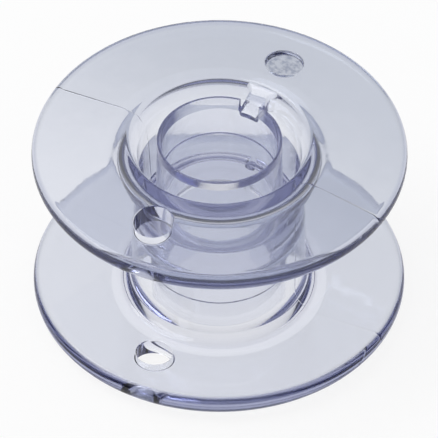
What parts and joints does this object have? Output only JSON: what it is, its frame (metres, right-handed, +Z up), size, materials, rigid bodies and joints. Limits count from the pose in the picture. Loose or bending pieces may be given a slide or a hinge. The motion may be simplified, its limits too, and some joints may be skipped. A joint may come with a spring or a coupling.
{
  "type": "sewing machine bobbin",
  "caption": "Clear moulded plastic sewing machine bobbin with thin dished flanges, a winding drum, thread holes and a central tube bore with a drive slot for the winder.",
  "frame": {"origin": "middle of the lower hub ring, on the bore axis, where the bobbin stands", "axes": "+Z up along the bore axis; +Y through the drive slots and the gate recess, -Y through the thread holes; +X along the mould parting line"},
  "size_m": [0.0205, 0.0204, 0.0115],
  "materials": {
    "clear_plastic": "clear, polished, faint blue-violet tint"
  },
  "bodies": {
    "root": {"bobbin": "clear_plastic"}
  },
  "joints": []
}
